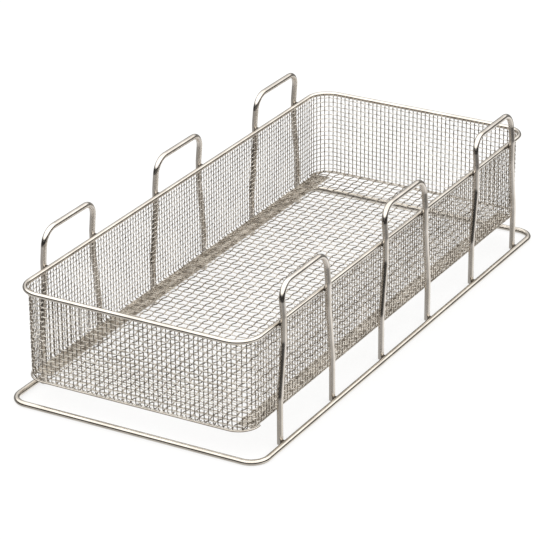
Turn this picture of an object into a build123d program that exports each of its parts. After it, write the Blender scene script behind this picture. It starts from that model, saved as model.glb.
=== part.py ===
"""Autoclave basket of round stainless wire.

A woven-mesh tray hangs inside a round-wire rim.  Six bent hoops pass outside the rim, three on
each long side, and stand inside a wider wire loop that rests on the ground.

Frame: millimetres, +Z up, origin on the ground below the middle of the base loop, +X along the
long side, -Y towards the front long side.
"""
import os
from math import sqrt

from build123d import *

# ---- driving dimensions ------------------------------------------------------------------
RIM_LENGTH = 605.0            # centre line to centre line
RIM_WIDTH = 255.0
RIM_HEIGHT = 122.5            # centre line above the ground
RIM_CORNER = 24.0             # bend radius on the centre line
RIM_WIRE = 5.0                # wire diameters
HOOP_WIRE = 6.0
BASE_WIRE = 6.0
EDGE_WIRE = 2.0
EDGE_STUB = 1.0               # how far an edge wire runs on past its corner bends
BASE_LENGTH = 609.0
BASE_CORNER = 18.0
CROSSING_GAP = 0.05           # left between crossing wires, filled by the weld

HOOP_PITCH = 206.0            # along the long side
HOOP_ROW_SHIFT = 4.0          # the row of hoops sits a little towards +X
HOOP_TOP = 160.8              # centre line of the hand bar
HOOP_SPREAD_TOP = 87.0        # between the two legs, above the upper kink
HOOP_SPREAD_FOOT = 103.0      # between the two legs, below the lower kink
HOOP_KINK_UPPER = 105.0
HOOP_KINK_LOWER = 48.0
HOOP_LEAN_START = 128.0       # above this height the hoop leans in over the rim
HOOP_LEAN_IN = 2.8
HOOP_CORNER = 16.0
HOOP_KINK_RADIUS = 30.0
HOOP_FOOT = 1.0               # height of the cut ends of the legs

TRAY_BOTTOM = 29.2            # underside of the mesh floor
TRAY_TOP = 123.5
TRAY_SHEET = 2.6              # a little over two mesh wires thick
TRAY_EDGE = 3.0               # bend radius along the floor's edges
TRAY_SEAT = 0.1               # how deep the rim sits in the mesh

# The weave stands out as upright ridges outside and level ridges inside, with furrows between.
FURROW = 0.8                  # depth of a furrow
RIDGE = 2.4                   # width of a ridge
FURROW_TOP = 118.0            # where the furrows of the walls stop, below the rim
FURROW_LOW = 37.0             # where they start, above the floor bends
UPRIGHT_COUNT = 26            # furrows across a long side, between the corner bends
END_UPRIGHT_COUNT = 10        # furrows across an end
LEVEL_COUNT = 4               # furrows up the walls
FLOOR_COUNT = 11              # furrows along the floor
FLOOR_WIDTH = 236.0
MESH_OPENING = (17.2, 16.0)   # open meshes in the front wall, one in each crossing of furrows
CUT_PAST = 5.0                # how far a cutting shape reaches past the tray

WELD_RADIUS = 2.8             # weld bead at a wire crossing
WELD_THICKNESS = 2.4

# ---- derived places ----------------------------------------------------------------------
RIM_R = RIM_WIRE / 2
HOOP_R = HOOP_WIRE / 2
BASE_R = BASE_WIRE / 2
EDGE_R = EDGE_WIRE / 2
TRAY_LENGTH = RIM_LENGTH - RIM_WIRE + 2 * TRAY_SEAT
TRAY_WIDTH = RIM_WIDTH - RIM_WIRE + 2 * TRAY_SEAT
TRAY_CORNER = RIM_CORNER - RIM_R + TRAY_SEAT
LEG_Y = RIM_WIDTH / 2 + RIM_R + CROSSING_GAP + HOOP_R
BASE_WIDTH = 2 * (LEG_Y + HOOP_R + CROSSING_GAP + BASE_R)
HOOP_XS = [HOOP_ROW_SHIFT + HOOP_PITCH * step for step in (-1, 0, 1)]
SIDES = {"front": -1, "rear": 1}

os.makedirs("parts", exist_ok=True)


def save(part, name):
    """Label a finished piece and write its file."""
    part.label = name
    export_step(part, f"parts/{name}.step")


def wire_loop(length, width, corner, wire, height):
    """A closed rounded rectangle of round wire: one half is bent and mirrored."""
    x, y = length / 2, width / 2
    with BuildPart() as loop:
        with BuildLine(Plane.XY.offset(height)) as path:
            FilletPolyline((0, -y), (x, -y), (x, y), (0, y), radius=[corner, corner])
        with BuildSketch(Plane(origin=path.line @ 0, z_dir=path.line % 0)):
            Circle(wire / 2)
        sweep()
        mirror(about=Plane.YZ)
    return loop.part


def hoop(x_middle, side):
    """One hoop: two legs that kink apart below the rim, and a hand bar above it."""
    half_top = HOOP_SPREAD_TOP / 2
    half_foot = HOOP_SPREAD_FOOT / 2
    y_leg = side * LEG_Y
    y_bar = side * (LEG_Y - HOOP_LEAN_IN)
    leg = [
        (half_foot, y_leg, HOOP_FOOT),
        (half_foot, y_leg, HOOP_KINK_LOWER),
        (half_top, y_leg, HOOP_KINK_UPPER),
        (half_top, y_leg, HOOP_LEAN_START),
        (half_top, y_bar, HOOP_TOP),
    ]
    near_leg = [(x_middle - x, y, z) for x, y, z in leg]
    far_leg = [(x_middle + x, y, z) for x, y, z in reversed(leg)]
    leg_radii = [HOOP_KINK_RADIUS] * 3
    radii = leg_radii + [HOOP_CORNER] * 2 + leg_radii
    with BuildPart() as bent:
        with BuildLine() as path:
            FilletPolyline(*near_leg, *far_leg, radius=radii)
        with BuildSketch(Plane(origin=path.line @ 0, z_dir=path.line % 0)):
            Circle(HOOP_R)
        sweep()
    return bent.part


def tray_block(inset):
    """A solid with the tray's plan, inset by one amount, and the bend of its floor edges.

    The bend shrinks with the inset; inside the sheet it is too tight to show and left square.
    """
    bottom = TRAY_BOTTOM + inset
    bend = TRAY_EDGE - inset
    with BuildPart() as block:
        with BuildSketch(Plane.XY.offset(bottom)):
            RectangleRounded(
                TRAY_LENGTH - 2 * inset,
                TRAY_WIDTH - 2 * inset,
                TRAY_CORNER - inset,
            )
        extrude(amount=TRAY_TOP - bottom)
        if bend > FURROW:
            fillet(block.faces().sort_by(Axis.Z)[0].edges(), bend)
    return block.part


def weld_beads(spread, y_contact, height, wire_y, wire_radius):
    """Beads where every leg crosses a long wire: discs with both wires cut out of them."""
    leg_xs = [x + sign * spread / 2 for x in HOOP_XS for sign in (-1, 1)]
    with BuildPart() as beads:
        for side in SIDES.values():
            with Locations(*[(x, side * y_contact, height) for x in leg_xs]):
                Cylinder(WELD_RADIUS, WELD_THICKNESS, rotation=(90, 0, 0))
            with Locations((0, side * wire_y, height)):
                Cylinder(wire_radius, BASE_LENGTH, rotation=(0, 90, 0), mode=Mode.SUBTRACT)
            with Locations(*[(x, side * LEG_Y, height) for x in leg_xs]):
                Cylinder(HOOP_R, 4 * WELD_RADIUS, mode=Mode.SUBTRACT)
    return beads.part


# ---- rim and base loop -------------------------------------------------------------------
rim_wire = wire_loop(RIM_LENGTH, RIM_WIDTH, RIM_CORNER, RIM_WIRE, RIM_HEIGHT)
save(rim_wire, "rim_wire")

base_loop = wire_loop(BASE_LENGTH, BASE_WIDTH, BASE_CORNER, BASE_WIRE, BASE_R)
save(base_loop, "base_loop")

# ---- hoops -------------------------------------------------------------------------------
for side_name, side in SIDES.items():
    for number, x_middle in enumerate(HOOP_XS, start=1):
        save(hoop(x_middle, side), f"hoop_{side_name}_{number}")

# ---- weld beads --------------------------------------------------------------------------
rim_contact = LEG_Y - HOOP_R - CROSSING_GAP / 2
save(weld_beads(HOOP_SPREAD_TOP, rim_contact, RIM_HEIGHT, RIM_WIDTH / 2, RIM_R), "rim_welds")

base_contact = LEG_Y + HOOP_R + CROSSING_GAP / 2
save(weld_beads(HOOP_SPREAD_FOOT, base_contact, BASE_R, BASE_WIDTH / 2, BASE_R), "base_welds")

# ---- wires along the short floor edges of the tray ---------------------------------------
# Each lies under the floor bend of one end and follows it round both corners.
edge_reach = (TRAY_EDGE + EDGE_R) / sqrt(2)
edge_x = TRAY_LENGTH / 2 - TRAY_EDGE + edge_reach
edge_y = TRAY_WIDTH / 2 - TRAY_EDGE + edge_reach
edge_z = TRAY_BOTTOM + TRAY_EDGE - edge_reach
edge_corner = TRAY_CORNER - TRAY_EDGE + edge_reach
for edge_name, end in (("left", -1), ("right", 1)):
    end_x = end * edge_x
    stub_x = end * (edge_x - edge_corner - EDGE_STUB)
    with BuildPart() as edge_wire:
        with BuildLine(Plane.XY.offset(edge_z)) as edge_path:
            FilletPolyline(
                (stub_x, -edge_y),
                (end_x, -edge_y),
                (end_x, edge_y),
                (stub_x, edge_y),
                radius=[edge_corner, edge_corner],
            )
        with BuildSketch(Plane(origin=edge_path.line @ 0, z_dir=edge_path.line % 0)):
            Circle(EDGE_R)
        sweep()
    save(edge_wire.part, f"edge_wire_{edge_name}")

# ---- mesh tray ---------------------------------------------------------------------------
straight_length = TRAY_LENGTH - 2 * TRAY_CORNER
straight_width = TRAY_WIDTH - 2 * TRAY_CORNER
inside_length = TRAY_LENGTH - 2 * TRAY_SHEET
inside_width = TRAY_WIDTH - 2 * TRAY_SHEET
upright_pitch = straight_length / UPRIGHT_COUNT
end_pitch = straight_width / END_UPRIGHT_COUNT
level_pitch = (FURROW_TOP - FURROW_LOW) / LEVEL_COUNT
floor_pitch = FLOOR_WIDTH / FLOOR_COUNT
furrow_floor = TRAY_BOTTOM + FURROW
upwards = (Align.CENTER, Align.MIN)

# one upright furrow: a U round the outside, under the floor and up both long walls
with BuildPart() as upright_furrow:
    with BuildSketch(Plane.YZ) as furrow_profile:
        with Locations((0, TRAY_BOTTOM - CUT_PAST)):
            Rectangle(
                TRAY_WIDTH + 2 * CUT_PAST,
                FURROW_TOP - TRAY_BOTTOM + CUT_PAST,
                align=upwards,
            )
        with Locations((0, furrow_floor)):
            Rectangle(
                TRAY_WIDTH - 2 * FURROW,
                TRAY_TOP,
                align=upwards,
                mode=Mode.SUBTRACT,
            )
        floor_corners = furrow_profile.vertices().filter_by(
            lambda corner: abs(corner.Y - furrow_floor) < FURROW / 2
        )
        fillet(floor_corners, TRAY_EDGE - FURROW)
    extrude(amount=(upright_pitch - RIDGE) / 2, both=True)

with BuildPart() as mesh_tray:
    add(tray_block(0))
    with GridLocations(upright_pitch, 1, UPRIGHT_COUNT, 1):
        add(upright_furrow.part, mode=Mode.SUBTRACT)
    add(tray_block(TRAY_SHEET), mode=Mode.SUBTRACT)

    # upright furrows outside both ends
    for end in (-1, 1):
        with Locations((end * TRAY_LENGTH / 2, 0, FURROW_LOW)):
            with GridLocations(1, end_pitch, 1, END_UPRIGHT_COUNT):
                Box(
                    2 * FURROW,
                    end_pitch - RIDGE,
                    FURROW_TOP - FURROW_LOW,
                    align=(Align.CENTER, Align.CENTER, Align.MIN),
                    mode=Mode.SUBTRACT,
                )

    # level furrows all the way round the inside
    for step in range(LEVEL_COUNT):
        with BuildSketch(Plane.XY.offset(FURROW_LOW + step * level_pitch + RIDGE / 2)):
            RectangleRounded(
                inside_length + 2 * FURROW,
                inside_width + 2 * FURROW,
                TRAY_CORNER - TRAY_SHEET + FURROW,
            )
        extrude(amount=level_pitch - RIDGE, mode=Mode.SUBTRACT)

    # furrows along the top of the floor
    with Locations((0, 0, TRAY_BOTTOM + TRAY_SHEET)):
        with GridLocations(1, floor_pitch, 1, FLOOR_COUNT):
            Box(straight_length, floor_pitch - RIDGE, 2 * FURROW, mode=Mode.SUBTRACT)

    # open meshes right through the front wall
    with BuildSketch(Plane.XZ.offset(straight_width / 2)):
        with Locations((0, (FURROW_LOW + FURROW_TOP) / 2)):
            with GridLocations(upright_pitch, level_pitch, UPRIGHT_COUNT, LEVEL_COUNT):
                Rectangle(*MESH_OPENING)
    extrude(amount=TRAY_CORNER + CUT_PAST, mode=Mode.SUBTRACT)

    # seat of the rim
    add(rim_wire, mode=Mode.SUBTRACT)
save(mesh_tray.part, "mesh_tray")
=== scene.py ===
"""Looks of a long sterilising basket: woven wire cloth held in a frame of round stainless wire.

Everything is in metres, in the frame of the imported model: +X along the basket, +Z up, the ground
at z = 0.  The cloth is woven here wire by wire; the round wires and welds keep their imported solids.
"""
import logging
from dataclasses import dataclass, field
from enum import Enum
from itertools import product
from math import cos, pi, radians, sin
from typing import Any

import bpy
import numpy as np
from mathutils import Matrix, Vector


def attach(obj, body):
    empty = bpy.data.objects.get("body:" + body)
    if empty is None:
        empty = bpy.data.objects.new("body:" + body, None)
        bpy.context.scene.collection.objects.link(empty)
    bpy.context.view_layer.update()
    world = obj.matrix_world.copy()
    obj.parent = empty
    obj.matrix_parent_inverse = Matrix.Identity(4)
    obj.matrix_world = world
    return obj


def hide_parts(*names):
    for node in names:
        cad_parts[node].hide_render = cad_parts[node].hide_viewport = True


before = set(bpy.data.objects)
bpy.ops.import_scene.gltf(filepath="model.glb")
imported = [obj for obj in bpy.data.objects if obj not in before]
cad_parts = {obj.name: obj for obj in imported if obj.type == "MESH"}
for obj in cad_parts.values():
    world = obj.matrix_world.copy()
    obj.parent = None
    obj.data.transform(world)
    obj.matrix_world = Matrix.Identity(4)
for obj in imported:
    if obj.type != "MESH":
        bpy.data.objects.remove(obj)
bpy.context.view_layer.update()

LOG = logging.getLogger("basket")
BODY = "root"
MM = 0.001
Colour = tuple[float, float, float]

# the colour sockets of a Mix node, whose names it also gives to other sockets
MIX_FIRST, MIX_SECOND, MIX_RESULT = 6, 7, 2


# ---- shader maths ------------------------------------------------------------------------
class Signal:
    """A number on a socket, so that shader maths reads as an expression."""

    def __init__(self, tree: "ShaderTree", socket: bpy.types.NodeSocket) -> None:
        """Keep the tree that new Math nodes go into, and the socket itself."""
        self.tree = tree
        self.socket = socket

    def __add__(self, other: "Signal | float") -> "Signal":
        """Sum."""
        return self.tree.maths("ADD", self, other)

    __radd__ = __add__

    def __sub__(self, other: "Signal | float") -> "Signal":
        """Difference."""
        return self.tree.maths("SUBTRACT", self, other)

    def __rsub__(self, other: "Signal | float") -> "Signal":
        """Difference, with the number first."""
        return self.tree.maths("SUBTRACT", other, self)

    def __mul__(self, other: "Signal | float") -> "Signal":
        """Product."""
        return self.tree.maths("MULTIPLY", self, other)

    __rmul__ = __mul__

    def ramp(self, low: float, high: float) -> "Signal":
        """0 at low, 1 at high, eased between them.

        Args:
            low: the value that gives 0.
            high: the value that gives 1.

        Returns:
            The eased share.
        """
        node = self.tree.node(
            "ShaderNodeMapRange",
            {"interpolation_type": "SMOOTHSTEP"},
            {"Value": self, "From Min": low, "From Max": high},
        )
        return Signal(self.tree, node.outputs["Result"])

    def between(self, low: "Signal | float", high: "Signal | float") -> "Signal":
        """This share of the way from low to high."""
        return low + (high - low) * self


class ShaderTree:
    """The nodes of one material or world, with one method for any node."""

    def __init__(self, owner: bpy.types.Material | bpy.types.World) -> None:
        """Clear the owner's node tree and start to fill it."""
        self.owner = owner
        owner.use_nodes = True
        self.nodes = owner.node_tree.nodes
        self.links = owner.node_tree.links
        self.nodes.clear()

    def node(
        self,
        kind: str,
        settings: dict[str, Any] | None = None,
        inputs: dict[Any, Any] | None = None,
    ) -> bpy.types.Node:
        """Add a node, set it up, then give its sockets their values or links.

        Args:
            kind: the node's type.
            settings: the node's own properties.
            inputs: socket name or number to a value, a Signal or an output socket.

        Returns:
            The new node.
        """
        made = self.nodes.new(kind)
        for key, value in (settings or {}).items():
            setattr(made, key, value)
        for key, value in (inputs or {}).items():
            socket = made.inputs[key]
            if isinstance(value, Signal):
                value = value.socket
            if isinstance(value, bpy.types.NodeSocket):
                self.links.new(value, socket)
            else:
                socket.default_value = value
        return made

    def maths(self, operation: str, first: "Signal | float", second: "Signal | float") -> Signal:
        """One Math node on two numbers."""
        made = self.node("ShaderNodeMath", {"operation": operation}, {0: first, 1: second})
        return Signal(self, made.outputs[0])

    def noise(self, scale: float, detail: float) -> Signal:
        """Noise on Object coordinates.

        Args:
            scale: features in a metre.
            detail: octaves.

        Returns:
            The noise, about 0.5 in the middle.
        """
        place = self.node("ShaderNodeTexCoord").outputs["Object"]
        made = self.node(
            "ShaderNodeTexNoise", inputs={"Vector": place, "Scale": scale, "Detail": detail}
        )
        return Signal(self, made.outputs["Fac"])

    def mix(self, share: Signal, low: Colour, high: Colour) -> bpy.types.NodeSocket:
        """A colour between two.

        Args:
            share: 0 gives the first colour, 1 the second.
            low: the first colour.
            high: the second colour.

        Returns:
            The mixed colour's socket.
        """
        made = self.node(
            "ShaderNodeMix",
            {"data_type": "RGBA"},
            {"Factor": share, MIX_FIRST: (*low, 1.0), MIX_SECOND: (*high, 1.0)},
        )
        return made.outputs[MIX_RESULT]

    def finish(self, shader: bpy.types.Node) -> bpy.types.Material:
        """Link the shader to the output and hand the material over."""
        self.node("ShaderNodeOutputMaterial", inputs={"Surface": shader.outputs[0]})
        return self.owner


# ---- finishes ----------------------------------------------------------------------------
@dataclass(frozen=True)
class WireSteel:
    """Satin stainless steel with a faint cloudy tint and a fine, slightly pitted grain.

    dark and light are the ends of its tint, smooth and rough the ends of its roughness; cloud and
    grain are the features of each pattern in a metre.
    """

    name: str
    dark: Colour
    light: Colour
    smooth: float
    rough: float
    cloud: float = 45.0
    cloud_detail: float = 3.0
    grain: float = 1400.0
    grain_detail: float = 2.0
    grain_tint: float = 0.3
    grain_rough: float = 0.5
    tint_range: tuple[float, float] = (0.36, 0.64)
    pitting: float = 0.12
    pit_depth: float = 0.05 * MM

    def material(self) -> bpy.types.Material:
        """Build the node material."""
        tree = ShaderTree(bpy.data.materials.new(self.name))
        cloud = tree.noise(self.cloud, self.cloud_detail)
        grain = tree.noise(self.grain, self.grain_detail)
        tint = (cloud * (1 - self.grain_tint) + grain * self.grain_tint).ramp(*self.tint_range)
        satin = cloud * (1 - self.grain_rough) + grain * self.grain_rough
        bump = tree.node(
            "ShaderNodeBump",
            inputs={"Strength": self.pitting, "Distance": self.pit_depth, "Height": grain},
        )
        shader = tree.node(
            "ShaderNodeBsdfPrincipled",
            inputs={
                "Base Color": tree.mix(tint, self.dark, self.light),
                "Metallic": 1.0,
                "Roughness": satin.between(self.smooth, self.rough),
                "Normal": bump.outputs[0],
            },
        )
        return tree.finish(shader)


@dataclass(frozen=True)
class WeldSteel:
    """Weld beads: heat-tinted brown-grey metal with a lumpy skin."""

    name: str
    burnt: Colour
    clean: Colour
    smooth: float = 0.35
    rough: float = 0.60
    lump: float = 900.0
    lump_detail: float = 3.0
    lump_tint: tuple[float, float] = (0.4, 0.62)
    lump_depth: float = 0.2 * MM
    lump_strength: float = 0.5
    metal: float = 0.9

    def material(self) -> bpy.types.Material:
        """Build the node material."""
        tree = ShaderTree(bpy.data.materials.new(self.name))
        lump = tree.noise(self.lump, self.lump_detail)
        bump = tree.node(
            "ShaderNodeBump",
            inputs={"Strength": self.lump_strength, "Distance": self.lump_depth, "Height": lump},
        )
        shader = tree.node(
            "ShaderNodeBsdfPrincipled",
            inputs={
                "Base Color": tree.mix(lump.ramp(*self.lump_tint), self.burnt, self.clean),
                "Metallic": self.metal,
                "Roughness": lump.between(self.smooth, self.rough),
                "Normal": bump.outputs[0],
            },
        )
        return tree.finish(shader)


@dataclass(frozen=True)
class StudioPaper:
    """White paper for the floor; most of its light is its own glow, so that shadows stay pale."""

    name: str
    white: float = 0.16
    mottle: float = 0.004
    fibre: float = 60.0
    fibre_detail: float = 2.0
    rough: float = 0.9
    shine: float = 0.1
    glow: float = 0.80

    def material(self) -> bpy.types.Material:
        """Build the node material."""
        tree = ShaderTree(bpy.data.materials.new(self.name))
        fibre = tree.noise(self.fibre, self.fibre_detail)
        low, high = self.white - self.mottle, self.white + self.mottle
        shader = tree.node(
            "ShaderNodeBsdfPrincipled",
            inputs={
                "Base Color": tree.mix(fibre, (low,) * 3, (high,) * 3),
                "Roughness": self.rough,
                "Specular IOR Level": self.shine,
                "Emission Color": (1.0, 1.0, 1.0, 1.0),
                "Emission Strength": self.glow,
            },
        )
        return tree.finish(shader)


# ---- meshes ------------------------------------------------------------------------------
def unit(vectors: np.ndarray) -> np.ndarray:
    """Vectors scaled to length 1 along the last axis."""
    return vectors / np.linalg.norm(vectors, axis=-1, keepdims=True)


def counts(first: float, last: float, step: float = 1.0) -> np.ndarray:
    """Even steps from first to last, both included."""
    return first + step * np.arange(round((last - first) / step) + 1)


def add_piece(name: str, mesh: bpy.types.Mesh, material: bpy.types.Material) -> bpy.types.Object:
    """Give a mesh its finish and put it into the scene at the world origin.

    Args:
        name: the object's name.
        mesh: its shape, in metres.
        material: its finish.

    Returns:
        The new object.
    """
    mesh.materials.append(material)
    made = bpy.data.objects.new(name, mesh)
    bpy.context.scene.collection.objects.link(made)
    return made


@dataclass
class TubeSet:
    """Many round wires of one diameter, gathered into one mesh.

    A wire's surface is centre(t) + r (cos a n(t) + sin a b(t)): n is square to the path and b is
    square to both.  The angle a runs once round, the other parameter along the path.
    """

    radius: float
    sides: int
    points: list[np.ndarray] = field(default_factory=list)
    loops: list[np.ndarray] = field(default_factory=list)
    sizes: list[np.ndarray] = field(default_factory=list)
    count: int = 0

    def add(self, centres: np.ndarray, lean: np.ndarray, closed: bool = False) -> None:
        """Sweep a circle along each path.

        Args:
            centres: wires x points x 3, the paths.
            lean: the same shape, a direction roughly square to each path.
            closed: whether each path runs back into its own start.
        """
        wires, steps, _ = centres.shape
        if closed:
            along = np.roll(centres, -1, 1) - np.roll(centres, 1, 1)
        else:
            along = np.gradient(centres, axis=1)
        along = unit(along)
        across = unit(np.cross(along, lean))
        normal = np.cross(across, along)
        angle = np.arange(self.sides) * 2 * pi / self.sides
        ring = (
            np.cos(angle)[:, None] * normal[:, :, None, :]
            + np.sin(angle)[:, None] * across[:, :, None, :]
        )
        skin = centres[:, :, None, :] + self.radius * ring
        number = self.count + np.arange(skin.size // 3).reshape(wires, steps, self.sides)
        here = number if closed else number[:, :-1]
        ahead = np.roll(number, -1, 1) if closed else number[:, 1:]
        quads = np.stack(
            [here, np.roll(here, -1, 2), np.roll(ahead, -1, 2), ahead], axis=-1
        ).reshape(-1, 4)
        self.points.append(skin.reshape(-1, 3))
        self.loops.append(quads.ravel())
        self.sizes.append(np.full(len(quads), 4))
        if not closed:
            ends = np.concatenate([number[:, 0, ::-1], number[:, -1, :]])
            self.loops.append(ends.ravel())
            self.sizes.append(np.full(len(ends), self.sides))
        self.count += number.size

    def piece(self, name: str, material: bpy.types.Material) -> bpy.types.Object:
        """Put the gathered wires into one object, smooth round the wires and flat on their ends.

        Args:
            name: the object's name.
            material: its finish.

        Returns:
            The new object.
        """
        points = np.concatenate(self.points)
        loops = np.concatenate(self.loops).astype(np.int32)
        sizes = np.concatenate(self.sizes).astype(np.int32)
        mesh = bpy.data.meshes.new(name)
        mesh.vertices.add(len(points))
        mesh.vertices.foreach_set("co", points.astype(np.float32).ravel())
        mesh.loops.add(len(loops))
        mesh.loops.foreach_set("vertex_index", loops)
        mesh.polygons.add(len(sizes))
        mesh.polygons.foreach_set("loop_start", np.cumsum(sizes).astype(np.int32) - sizes)
        mesh.update(calc_edges=True)
        mesh.polygons.foreach_set("use_smooth", sizes == 4)
        mesh.validate()
        return add_piece(name, mesh, material)


# ---- the wire cloth ----------------------------------------------------------------------
class Family(Enum):
    """The two families of wires in a plain weave: one lifts where the other dips."""

    FIRST = "first"
    SECOND = "second"


@dataclass(frozen=True)
class Weave:
    """A plain weave: round wires on every half number of two counts across the cloth.

    first_share is the share of the crimp that the first family takes; the second takes the rest.
    """

    wire: float
    pitch: float
    first_share: float

    def lift(self, family: Family, u: np.ndarray, v: np.ndarray) -> np.ndarray:
        """How far a wire rises off the middle of the cloth: plus or minus h sin(pi u) sin(pi v).

        Args:
            family: which family the wire is in.
            u: the first count, in pitches.
            v: the second count, in pitches.

        Returns:
            The rise, in metres; both families' h add up to one wire, so crossing wires touch.
        """
        share = self.first_share if family is Family.FIRST else self.first_share - 1
        return share * self.wire * np.sin(pi * u) * np.sin(pi * v)


@dataclass
class TrayPlan:
    """The middle line of the walls from above: straight sides and quarter circles."""

    length: float = 597.6 * MM
    width: float = 247.6 * MM
    corner: float = 20.3 * MM

    @property
    def corner_x(self) -> float:
        """Where the long wall runs into the corner bend."""
        return self.length / 2 - self.corner

    @property
    def corner_y(self) -> float:
        """Where the end wall runs into the corner bend."""
        return self.width / 2 - self.corner

    def outline(
        self, run: np.ndarray, right: np.ndarray, rear: np.ndarray
    ) -> tuple[np.ndarray, ...]:
        """Points of the outline and their outward directions.

        Along a quarter: straight to the corner, (sin, cos) of the turn round it, then straight.

        Args:
            run: distance along a quarter of the outline from the middle of a long side.
            right: 1 on the +X half, -1 on the other.
            rear: 1 on the +Y half, -1 on the other.

        Returns:
            x, y and the outward direction's x and y.
        """
        arc = self.corner * pi / 2
        turn = np.clip((run - self.corner_x) / self.corner, 0, pi / 2)
        x = np.minimum(run, self.corner_x) + self.corner * np.sin(turn)
        y = self.corner_y + self.corner * np.cos(turn)
        y = y - np.clip(run - self.corner_x - arc, 0, None)
        return right * x, rear * y, right * np.sin(turn), rear * np.cos(turn)

    def reach_y(self, x: np.ndarray) -> np.ndarray:
        """How far the outline goes in Y at a distance along X."""
        past = np.clip(np.abs(x) - self.corner_x, 0, self.corner)
        return self.corner_y + np.sqrt(self.corner**2 - past**2)

    def reach_x(self, y: np.ndarray) -> np.ndarray:
        """How far the outline goes in X at a distance along Y."""
        past = np.clip(np.abs(y) - self.corner_y, 0, self.corner)
        return self.corner_x + np.sqrt(self.corner**2 - past**2)


@dataclass
class WallCloth:
    """Fine cloth formed into the four walls, its foot turned in round the bottom bend.

    p counts the upright wires round the walls from the middle of the rear side; q counts the
    level wires up from the top of the bottom bend, and is negative round the bend.  side_p is the
    last upright wire of half a long side, and foot_q is where the upright wires end under the bend.
    """

    plan: TrayPlan
    weave: Weave = Weave(wire=1.0 * MM, pitch=5.0 * MM, first_share=0.3)
    low: float = 29.7 * MM
    top: float = 123.3 * MM
    bend: float = 1.7 * MM
    sides: int = 6
    step: float = 0.5
    side_p: float = 55.5
    corner_wires: int = 7
    end_wires: int = 41
    foot_q: float = -0.8
    low_wire: float = -0.5
    top_wire: float = 17.5

    @property
    def quarter_p(self) -> float:
        """Pitches in a quarter of the way round."""
        return self.side_p + self.corner_wires + self.end_wires / 2

    @property
    def end_q(self) -> float:
        """The q at which the upright wires are cut, inside the rim."""
        return (self.top - self.low - self.bend) / self.weave.pitch

    def surface(self, p: np.ndarray, q: np.ndarray) -> tuple[np.ndarray, np.ndarray]:
        """The middle of the cloth: the plan's outline, swept down the wall and round the bend.

        Args:
            p: pitches round the walls.
            q: pitches up the wall.

        Returns:
            The points and the outward directions.
        """
        plan, quarter = self.plan, self.quarter_p
        within = np.abs((p + quarter) % (2 * quarter) - quarter)
        side_end = self.side_p * self.weave.pitch
        full = plan.corner_x + plan.corner * pi / 2 + plan.corner_y
        end_start = full - self.end_wires / 2 * self.weave.pitch
        stops = [0, self.side_p, self.side_p + self.corner_wires, quarter]
        run = np.interp(within, stops, [0, side_end, end_start, full])
        right = np.where(p % (4 * quarter) <= 2 * quarter, 1.0, -1.0)
        rear = np.where((p + quarter) % (4 * quarter) <= 2 * quarter, 1.0, -1.0)
        x, y, out_x, out_y = plan.outline(run, right, rear)
        down = -q * self.weave.pitch
        turn = np.clip(down / self.bend, 0, pi / 2)
        inset = self.bend * (1 - np.cos(turn)) + np.clip(down - self.bend * pi / 2, 0, None)
        z = self.low + self.bend * (1 - np.sin(turn)) + np.clip(-down, 0, None)
        points = np.broadcast_arrays(x - inset * out_x, y - inset * out_y, z)
        leans = np.broadcast_arrays(out_x * np.cos(turn), out_y * np.cos(turn), -np.sin(turn))
        return np.stack(points, axis=-1), np.stack(leans, axis=-1)

    def wires(self, family: Family, p: np.ndarray, q: np.ndarray) -> tuple[np.ndarray, np.ndarray]:
        """Wire paths on the cloth, lifted by the weave.

        Args:
            family: upright wires are the first family, level wires the second.
            p: pitches round the walls.
            q: pitches up the wall.

        Returns:
            The paths and their outward directions.
        """
        points, leans = self.surface(p, q)
        return points + self.weave.lift(family, p, q)[..., None] * leans, leans

    def build(
        self, upright: bpy.types.Material, level: bpy.types.Material
    ) -> list[bpy.types.Object]:
        """Weave the walls: upright wires on the long sides, those of the ends, and level wires.

        Args:
            upright: the finish of the upright wires, steel darkened as painted shade.
            level: the finish of the level wires, steel lightened as a painted highlight.

        Returns:
            The pieces.
        """
        half = 2 * self.quarter_p
        up = counts(self.low_wire, self.top_wire, self.step)
        up = np.concatenate([[self.foot_q], up, [self.end_q]])[None, :]
        side_wires = counts(-self.side_p, self.side_p)[:, None]
        end_wires = counts(self.side_p + 1, half - self.side_p - 1)[:, None]
        round_walls = counts(0, 2 * half - self.step, self.step)[None, :]
        level_wires = counts(self.low_wire, self.top_wire)[:, None]

        long_sides = TubeSet(self.weave.wire / 2, self.sides)
        ends = TubeSet(self.weave.wire / 2, self.sides)
        for start in (0, half):
            long_sides.add(*self.wires(Family.FIRST, side_wires + start, up))
            ends.add(*self.wires(Family.FIRST, end_wires + start, up))
        levels = TubeSet(self.weave.wire / 2, self.sides)
        levels.add(*self.wires(Family.SECOND, round_walls, level_wires), closed=True)
        return [
            long_sides.piece("wall_upright_sides", upright),
            ends.piece("wall_upright_ends", upright),
            levels.piece("wall_level_wires", level),
        ]


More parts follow.
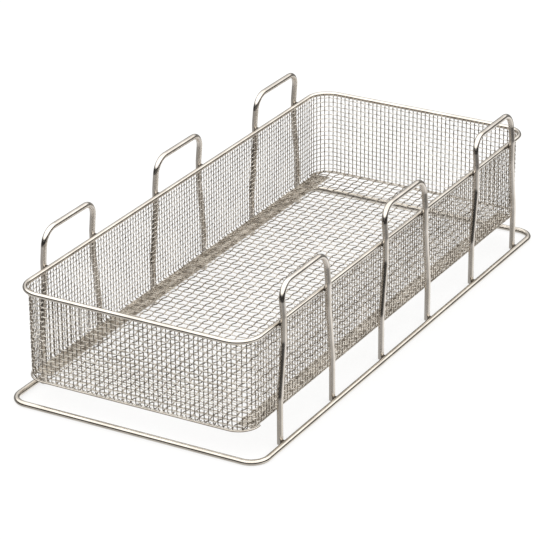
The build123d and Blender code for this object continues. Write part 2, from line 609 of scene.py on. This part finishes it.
@dataclass
class FloorCloth:
    """Coarser cloth for the floor, cut short of the walls' middle line.

    long_wires and cross_wires are the counts of the outermost wires of each family.
    """

    plan: TrayPlan
    weave: Weave = Weave(wire=1.25 * MM, pitch=9.3 * MM, first_share=0.75)
    height: float = 31.0 * MM
    short: float = 0.6 * MM
    sides: int = 6
    step: float = 0.25
    long_wires: float = 12.5
    cross_wires: float = 31.5

    def wires(self, family: Family) -> tuple[np.ndarray, np.ndarray]:
        """One family of the floor's wires, straight from above and lifted by the weave.

        Args:
            family: the first runs along X, the second along Y.

        Returns:
            The paths and the upward direction at each point.
        """
        pitch = self.weave.pitch
        first = family is Family.FIRST
        last = self.long_wires if first else self.cross_wires
        place = counts(-last, last)[:, None] * pitch
        reach = (self.plan.reach_x if first else self.plan.reach_y)(place) - self.short
        points = int(2 * reach.max() / pitch / self.step) + 1
        along = reach * np.linspace(-1, 1, points)[None, :]
        place = np.broadcast_to(place, along.shape)
        x, y = (along, place) if first else (place, along)
        z = self.height + self.weave.lift(family, x / pitch, y / pitch)
        path = np.stack([x, y, z], axis=-1)
        return path, np.broadcast_to([0.0, 0.0, 1.0], path.shape)

    def build(
        self, long_steel: bpy.types.Material, cross_steel: bpy.types.Material
    ) -> list[bpy.types.Object]:
        """Weave the floor's two families.

        Args:
            long_steel: the finish of the wires along X, steel darkened as painted shade.
            cross_steel: the finish of the wires along Y.

        Returns:
            The pieces.
        """
        pieces = []
        for name, family, steel in (
            ("floor_long_wires", Family.FIRST, long_steel),
            ("floor_cross_wires", Family.SECOND, cross_steel),
        ):
            tubes = TubeSet(self.weave.wire / 2, self.sides)
            tubes.add(*self.wires(family))
            pieces.append(tubes.piece(name, steel))
        return pieces


@dataclass
class FloorStrips:
    """Two flat strips under the floor's long edges, which lap a little into the corner bends."""

    plan: TrayPlan
    outer: float = 122.4 * MM
    wide: float = 18.5 * MM
    low: float = 28.5 * MM
    high: float = 29.1 * MM
    lap: float = 6.0 * MM

    def build(self, steel: bpy.types.Material) -> list[bpy.types.Object]:
        """Make one strip on each long side, a box whose corners count up in z, then y, then x.

        Args:
            steel: the strips' finish.

        Returns:
            The pieces.
        """
        ends = [(1, 3, 2, 0), (6, 7, 5, 4)]
        edges = [(4, 5, 1, 0), (3, 7, 6, 2)]
        flats = [(2, 6, 4, 0), (5, 7, 3, 1)]
        reach = self.plan.corner_x + self.lap
        pieces = []
        for name, side in (("floor_strip_front", -1), ("floor_strip_rear", 1)):
            across = sorted((side * self.outer, side * (self.outer - self.wide)))
            mesh = bpy.data.meshes.new(name)
            corners = product((-reach, reach), across, (self.low, self.high))
            mesh.from_pydata(list(corners), [], ends + edges + flats)
            pieces.append(add_piece(name, mesh, steel))
        return pieces


@dataclass
class MeshTray:
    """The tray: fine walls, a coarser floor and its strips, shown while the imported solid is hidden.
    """

    # steel darkened as painted shade, for the upright wall wires and the floor's wires along X
    upright: WireSteel
    # steel lightened as a painted highlight, for the level wall wires
    level: WireSteel
    cross: WireSteel
    strip: WireSteel

    def build(self) -> list[bpy.types.Object]:
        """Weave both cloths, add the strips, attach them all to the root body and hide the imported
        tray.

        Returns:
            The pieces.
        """
        plan = TrayPlan()
        # the darkened steel, painted shade, goes on the upright wall wires and the floor's wires
        # along X
        upright = self.upright.material()
        # the lightened steel, a painted highlight, goes on the level wall wires
        pieces = WallCloth(plan).build(upright, self.level.material())
        pieces += FloorCloth(plan).build(upright, self.cross.material())
        pieces += FloorStrips(plan).build(self.strip.material())
        for piece in pieces:
            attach(piece, BODY)
            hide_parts("mesh_tray")
        return pieces


# ---- the frame of round wire -------------------------------------------------------------
@dataclass
class WireFrame:
    """The rim, base loop, hoops, edge wires and weld beads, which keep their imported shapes."""

    rim: WireSteel
    base: WireSteel
    hoop: WireSteel
    edge: WireSteel
    weld: WeldSteel

    def dress(self) -> list[bpy.types.Object]:
        """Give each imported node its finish, by the start of its name.

        Returns:
            The dressed nodes.
        """
        finishes = {
            "rim_wire": self.rim,
            "base_loop": self.base,
            "hoop_": self.hoop,
            "edge_wire_": self.edge,
            "rim_welds": self.weld,
            "base_welds": self.weld,
        }
        dressed = []
        for start, finish in finishes.items():
            material = finish.material()
            for name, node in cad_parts.items():
                if name.startswith(start):
                    node.data.materials.clear()
                    node.data.materials.append(material)
                    dressed.append(node)
        return dressed


# ---- studio ------------------------------------------------------------------------------
@dataclass
class Studio:
    """White floor and the surround that the steel mirrors.

    The floor takes the shadows, and the wires don't mirror it: they mirror the surround, whose
    lower half stands for the floor.  By height the surround is a bright tent overhead, a dark
    horizon that pales ahead of the viewer, a floor that is darker on the viewer's left and near
    side, and an even light straight below.  Turns and ranges are parts of a unit direction.
    """

    paper: StudioPaper
    floor_half: float = 30.0
    ahead: tuple[float, float] = (0.87, 0.49)
    right: tuple[float, float] = (0.49, -0.87)
    dusk: float = 0.04
    dawn: float = 0.26
    dawn_range: tuple[float, float] = (-0.2, 0.8)
    tent: float = 2.0
    tent_ahead: float = 1.0
    tent_turn: tuple[float, float] = (0.45, 0.80)
    tent_range: tuple[float, float] = (0.26, 0.42)
    floor_dark: float = 0.52
    floor_light: float = 1.25
    floor_turn: tuple[float, float] = (0.8, 0.5)
    floor_range: tuple[float, float] = (-0.1, 0.6)
    floor_low: tuple[float, float] = (0.24, 0.38)
    under: float = 0.75
    under_range: tuple[float, float] = (0.45, 0.90)
    warmth: Colour = (1.0, 0.985, 0.96)

    def floor(self) -> bpy.types.Object:
        """A wide white floor that the base loop stands on."""
        half = self.floor_half
        mesh = bpy.data.meshes.new("studio_floor")
        corners = [(-half, -half, 0), (half, -half, 0), (half, half, 0), (-half, half, 0)]
        mesh.from_pydata(corners, [], [(0, 1, 2, 3)])
        made = add_piece("studio_floor", mesh, self.paper.material())
        made.visible_glossy = False
        return made

    def surround(self) -> None:
        """Build the world; seen straight through the lens it is plain white."""
        world = bpy.data.worlds.new("studio_surround")
        bpy.context.scene.world = world
        tree = ShaderTree(world)
        coords = tree.node("ShaderNodeTexCoord")
        parts = tree.node("ShaderNodeSeparateXYZ", inputs={0: coords.outputs["Generated"]})
        x, y, z = (Signal(tree, parts.outputs[axis]) for axis in "XYZ")
        ahead = x * self.ahead[0] + y * self.ahead[1]
        right = x * self.right[0] + y * self.right[1]
        down = z * -1.0
        horizon = ahead.ramp(*self.dawn_range).between(self.dusk, self.dawn)
        tent = ahead.ramp(*self.tent_turn).between(self.tent, self.tent_ahead)
        sky = z.ramp(*self.tent_range).between(horizon, tent)
        lit = (right * self.floor_turn[0] + ahead * self.floor_turn[1]).ramp(*self.floor_range)
        floor = lit.between(self.floor_dark, self.floor_light)
        floor = down.ramp(*self.under_range).between(floor, self.under)
        glow = down.ramp(*self.floor_low).between(sky, floor)
        channels = {index: glow * share for index, share in enumerate(self.warmth)}
        tint = tree.node("ShaderNodeCombineColor", inputs=channels)
        light = tree.node("ShaderNodeBackground", inputs={"Color": tint.outputs[0]})
        white = tree.node("ShaderNodeBackground", inputs={"Color": (1.0, 1.0, 1.0, 1.0)})
        seen = tree.node("ShaderNodeLightPath").outputs["Is Camera Ray"]
        mixed = tree.node(
            "ShaderNodeMixShader", inputs={0: seen, 1: light.outputs[0], 2: white.outputs[0]}
        )
        tree.node("ShaderNodeOutputWorld", inputs={"Surface": mixed.outputs[0]})

    def build(self) -> None:
        """Set up the floor and the surround."""
        self.floor()
        self.surround()
        bpy.context.scene.view_settings.view_transform = "Standard"


@dataclass
class ViewCamera:
    """A long lens at the viewing angle: azimuth 0 looks along +Y, and it turns towards +X."""

    azimuth: float = 60.408
    elevation: float = 24.456
    roll: float = -0.429
    lens: float = 185.71
    sensor: float = 36.0
    shift: tuple[float, float] = (-0.0029, -0.0001)
    clip: tuple[float, float] = (0.05, 100.0)
    place: tuple[float, float, float] = (-2.27184, -1.27136, 1.23442)

    def build(self) -> bpy.types.Object:
        """Make the camera and set it as the scene's own.

        Returns:
            The camera's object.
        """
        turn, tilt = radians(self.azimuth), radians(self.elevation)
        ahead = Vector((sin(turn) * cos(tilt), cos(turn) * cos(tilt), -sin(tilt)))
        level = ahead.cross(Vector((0, 0, 1))).normalized()
        upright = level.cross(ahead)
        spin = radians(self.roll)
        right = level * cos(spin) + upright * sin(spin)
        up = upright * cos(spin) - level * sin(spin)
        camera = bpy.data.cameras.new("view_camera")
        camera.sensor_width = self.sensor
        camera.lens = self.lens
        camera.shift_x, camera.shift_y = self.shift
        camera.clip_start, camera.clip_end = self.clip
        made = bpy.data.objects.new("view_camera", camera)
        axes = Matrix((right, up, -ahead)).transposed().to_4x4()
        made.matrix_world = Matrix.Translation(self.place) @ axes
        bpy.context.scene.collection.objects.link(made)
        bpy.context.scene.camera = made
        return made


def main() -> None:
    """Build the camera and studio, dress the frame, weave the cloth, and report each piece."""
    logging.basicConfig(level=logging.INFO, format="%(name)s: %(message)s")
    ViewCamera().build()
    Studio(StudioPaper("studio_paper")).build()
    wire_frame = WireFrame(
        rim=WireSteel("rim_steel", (0.58, 0.54, 0.49), (0.72, 0.68, 0.62), 0.05, 0.12),
        base=WireSteel("base_steel", (0.54, 0.50, 0.45), (0.66, 0.62, 0.56), 0.09, 0.20),
        hoop=WireSteel("hoop_steel", (0.56, 0.52, 0.47), (0.68, 0.64, 0.60), 0.12, 0.24),
        edge=WireSteel("edge_steel", (0.50, 0.46, 0.41), (0.60, 0.56, 0.51), 0.14, 0.26),
        weld=WeldSteel("weld_steel", (0.04, 0.035, 0.03), (0.16, 0.14, 0.12)),
    )
    for node in wire_frame.dress():
        LOG.info("dressed %s", node.name)
    tray = MeshTray(
        # the upright wires' steel is darkened as painted shade, where the wires mirror the dark
        # horizon
        upright=WireSteel("upright_steel_painted_shade", (0.20, 0.17, 0.14), (0.42, 0.38, 0.33), 0.14, 0.28),
        # the level wires' steel is lightened as a painted highlight of the bright light overhead
        level=WireSteel("level_steel_painted_highlight", (0.62, 0.59, 0.54), (0.86, 0.83, 0.78), 0.22, 0.36),
        cross=WireSteel("cross_steel", (0.42, 0.39, 0.34), (0.60, 0.56, 0.51), 0.20, 0.32),
        strip=WireSteel(
            "strip_steel", (0.46, 0.42, 0.37), (0.96, 0.92, 0.85), 0.36, 0.60, cloud=110.0
        ),
    )
    for piece in tray.build():
        LOG.info("woven %s: %d faces", piece.name, len(piece.data.polygons))


if __name__ == "__main__":
    main()
